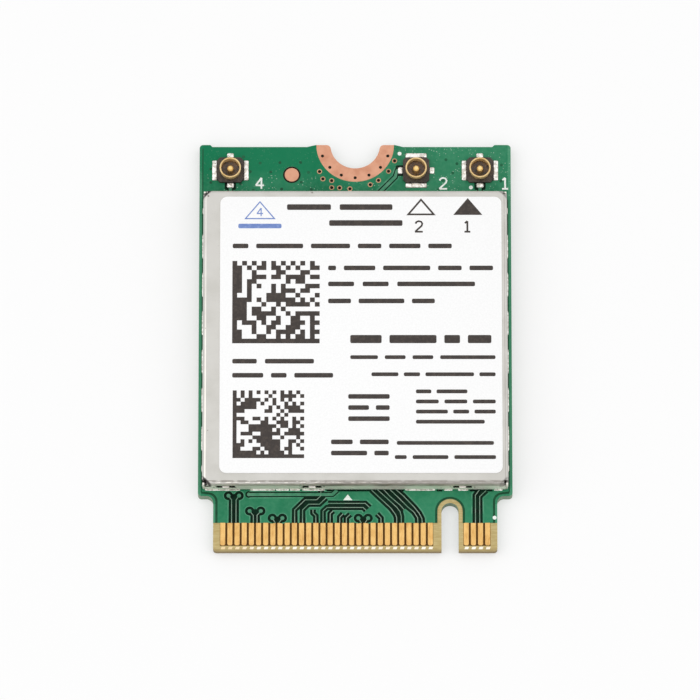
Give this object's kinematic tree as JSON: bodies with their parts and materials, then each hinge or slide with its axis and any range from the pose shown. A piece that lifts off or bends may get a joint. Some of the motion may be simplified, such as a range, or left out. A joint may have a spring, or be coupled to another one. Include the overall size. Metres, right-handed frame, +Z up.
{
  "type": "laptop wifi card",
  "caption": "Flat plug-in wireless card: green board with a keyed gold card edge, half-round screw notch, labelled metal shield and three push-on antenna receptacles.",
  "frame": {"origin": "middle of the board's underside", "axes": "+Z up out of the shielded face, +Y towards the screw notch, the card edge at -Y"},
  "size_m": [0.022, 0.03, 0.0023],
  "materials": {
    "solder_mask": "semi-gloss green coating over glass laminate",
    "contact_gold": "satin hard gold plating",
    "bare_copper": "matte bare copper",
    "tinned_sheet": "satin tinned sheet",
    "label_paper": "white coated label",
    "receptacle_resin": "dark moulded resin",
    "receptacle_gold": "bright gold plating",
    "solder_tin": "bright solder",
    "chip_resin": "black moulded package",
    "chip_ceramic": "fired ceramic",
    "inductor_ferrite": "pressed ferrite",
    "crystal_metal": "plated lid"
  },
  "bodies": {
    "root": {"circuit_board": "solder_mask", "edge_contacts_top": "contact_gold", "edge_contacts_bottom": "contact_gold", "ground_ring_top": "bare_copper", "ground_ring_bottom": "bare_copper", "fiducial_mark": "bare_copper", "shield_frame": "tinned_sheet", "shield_cover": "tinned_sheet", "label": "label_paper", "radio_chip": "chip_resin", "front_end_modules": "chip_resin", "antenna_filters": "chip_ceramic", "flash_memory_chip": "chip_resin", "voltage_regulator": "chip_resin", "power_inductors": "inductor_ferrite", "crystal_can": "crystal_metal", "ceramic_capacitors": "chip_ceramic", "capacitor_end_caps": "solder_tin", "left_antenna_base": "receptacle_resin", "left_antenna_shell": "receptacle_gold", "left_antenna_pin": "receptacle_gold", "left_antenna_solder_pads": "solder_tin", "middle_antenna_base": "receptacle_resin", "middle_antenna_shell": "receptacle_gold", "middle_antenna_pin": "receptacle_gold", "middle_antenna_solder_pads": "solder_tin", "right_antenna_base": "receptacle_resin", "right_antenna_shell": "receptacle_gold", "right_antenna_pin": "receptacle_gold", "right_antenna_solder_pads": "solder_tin"}
  },
  "joints": []
}
